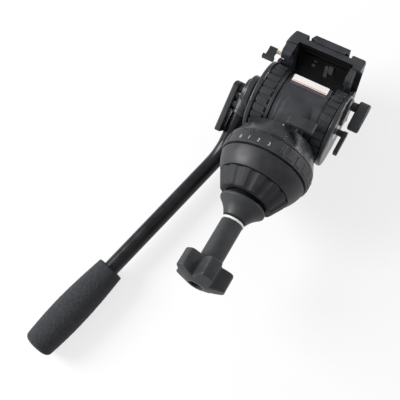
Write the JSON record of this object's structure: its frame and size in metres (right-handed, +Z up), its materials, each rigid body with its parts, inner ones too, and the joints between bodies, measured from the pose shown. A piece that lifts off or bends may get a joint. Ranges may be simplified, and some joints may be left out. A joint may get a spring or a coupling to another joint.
{
  "type": "fluid head",
  "caption": "Video tripod fluid head with half-ball base and tie-down knob, pan and tilt drag rings, sliding camera plate and bent pan handle with foam grip.",
  "frame": {"origin": "on the pan axis, in the plane of the half ball's shoulder, which lies level with the tripod bowl's rim", "axes": "+Z up along the pan axis, +X along the tilt axis away from the handle, +Y to the back; the dial numbers and the label strip face -Y"},
  "size_m": [0.2235, 0.1773, 0.4222],
  "materials": {
    "black_casting": "fine satin black paint on a casting",
    "black_plastic": "matte, lightly grained",
    "black_rubber": "matte",
    "black_foam": "matte open-cell foam",
    "bare_alloy": "machined",
    "steel": "machined",
    "brass": "turned",
    "white_nylon": "satin",
    "label_film": "satin film"
  },
  "bodies": {
    "base": {"half_ball": "black_casting", "tie_down_stud": "steel", "pan_spindle": "bare_alloy", "pan_drag_rotor": "bare_alloy", "spindle_nut": "steel"},
    "clamp": {"clamp_cup": "black_casting", "thrust_washer": "black_rubber"},
    "tie_down": {"cone_nut": "black_plastic", "thread_insert": "brass", "seal_ring": "black_rubber", "nylon_ring": "white_nylon", "knob_sleeve": "black_plastic", "star_knob": "black_plastic"},
    "pan": {"cone_cover": "black_casting", "pan_drag_cup": "bare_alloy", "housing": "black_casting", "pan_bearing": "steel", "bearing_flange": "black_casting", "label_strip": "label_film"},
    "pan_dial": {"pan_drag_dial": "black_plastic"},
    "pan_lock": {"pan_lock_lever": "black_plastic", "pan_lock_screw": "steel"},
    "tilt_dial": {"tilt_drag_ring": "black_plastic"},
    "balance_dial": {"balance_ring": "black_plastic"},
    "tilt": {"left_arm": "black_casting", "right_arm": "black_casting", "platform": "black_casting", "tilt_shaft": "bare_alloy", "tilt_drag_rotor": "bare_alloy", "balance_spring_pack": "steel", "rosette": "black_casting", "tilt_lock_boss": "black_casting"},
    "plate": {"camera_plate": "black_casting", "plate_pad_left": "black_rubber", "plate_pad_right": "black_rubber"},
    "screw_slider": {"screw_washer": "steel"},
    "screw": {"camera_screw": "steel"},
    "pin_slider": {"pin_carrier": "bare_alloy"},
    "pin": {"guide_pin": "steel"},
    "plate_lock": {"plate_lock_lever": "black_plastic", "plate_lock_spindle": "brass"},
    "handle": {"handle_clamp": "black_casting", "handle_tube": "black_casting", "handle_grip": "black_foam"},
    "handle_wing": {"handle_wing_lever": "black_plastic", "handle_bolt": "steel"},
    "tilt_lock": {"tilt_lock_lever": "black_plastic"},
    "balance_handle": {"balance_lever": "black_plastic"}
  },
  "joints": [
    {"name": "clamp_lift", "type": "slide", "parent": "base", "child": "clamp", "axis": [0, 0, 1], "range_m": [-0.007, 0]},
    {"name": "tie_down_turn", "type": "hinge", "parent": "clamp", "child": "tie_down", "pos_m": [0, 0, -0.08], "axis": [0, 0, 1], "range_deg": [-1440, 0]},
    {"name": "pan_turn", "type": "hinge", "parent": "base", "child": "pan", "pos_m": [0, 0, 0.02], "axis": [0, 0, 1], "continuous": true},
    {"name": "pan_drag_dial_turn", "type": "hinge", "parent": "pan", "child": "pan_dial", "pos_m": [0, 0, 0.008], "axis": [0, 0, 1], "range_deg": [0, 39]},
    {"name": "pan_lock_turn", "type": "hinge", "parent": "pan", "child": "pan_lock", "pos_m": [0.0074, -0.0425, 0.0454], "axis": [0, 1, 0], "range_deg": [-60, 15]},
    {"name": "tilt_drag_ring_turn", "type": "hinge", "parent": "pan", "child": "tilt_dial", "pos_m": [-0.033, 0, 0.081], "axis": [1, 0, 0], "range_deg": [0, 39]},
    {"name": "balance_ring_turn", "type": "hinge", "parent": "pan", "child": "balance_dial", "pos_m": [0.035, 0, 0.081], "axis": [1, 0, 0], "range_deg": [-60, 60]},
    {"name": "tilt_turn", "type": "hinge", "parent": "pan", "child": "tilt", "pos_m": [0, 0, 0.081], "axis": [1, 0, 0], "range_deg": [-70, 90]},
    {"name": "plate_slide", "type": "slide", "parent": "tilt", "child": "plate", "axis": [0, 1, 0], "range_m": [-0.025, 0.025]},
    {"name": "screw_slot_slide", "type": "slide", "parent": "plate", "child": "screw_slider", "axis": [0, 1, 0], "range_m": [-0.003, 0.018]},
    {"name": "screw_turn", "type": "hinge", "parent": "screw_slider", "child": "screw", "pos_m": [0.0038, 0.01, 0.146], "axis": [0, 0, 1], "continuous": true},
    {"name": "pin_slot_slide", "type": "slide", "parent": "plate", "child": "pin_slider", "axis": [0, 1, 0], "range_m": [-0.018, 0.003]},
    {"name": "pin_press", "type": "slide", "parent": "pin_slider", "child": "pin", "axis": [0, 0, 1], "range_m": [-0.004, 0], "stiffness_N_per_m": 600, "springref_m": 0.001},
    {"name": "plate_lock_turn", "type": "hinge", "parent": "tilt", "child": "plate_lock", "pos_m": [-0.05, -0.018, 0.1312], "axis": [1, 0, 0], "range_deg": [-80, 20]},
    {"name": "handle_swing", "type": "hinge", "parent": "tilt", "child": "handle", "pos_m": [-0.055, 0, 0.081], "axis": [1, 0, 0], "range_deg": [-50, 95]},
    {"name": "handle_wing_turn", "type": "hinge", "parent": "handle", "child": "handle_wing", "pos_m": [-0.07, 0, 0.081], "axis": [1, 0, 0], "continuous": true},
    {"name": "tilt_lock_turn", "type": "hinge", "parent": "tilt", "child": "tilt_lock", "pos_m": [0.055, -0.022, 0.104], "axis": [1, 0, 0], "range_deg": [-60, 10]},
    {"name": "balance_lever_turn", "type": "hinge", "parent": "tilt", "child": "balance_handle", "pos_m": [0.052, 0, 0.081], "axis": [1, 0, 0], "range_deg": [-20, 60]}
  ],
  "couplings": [
    {"joint": "tie_down_turn", "follows": "clamp_lift", "rad_per_m": 3590.4}
  ]
}
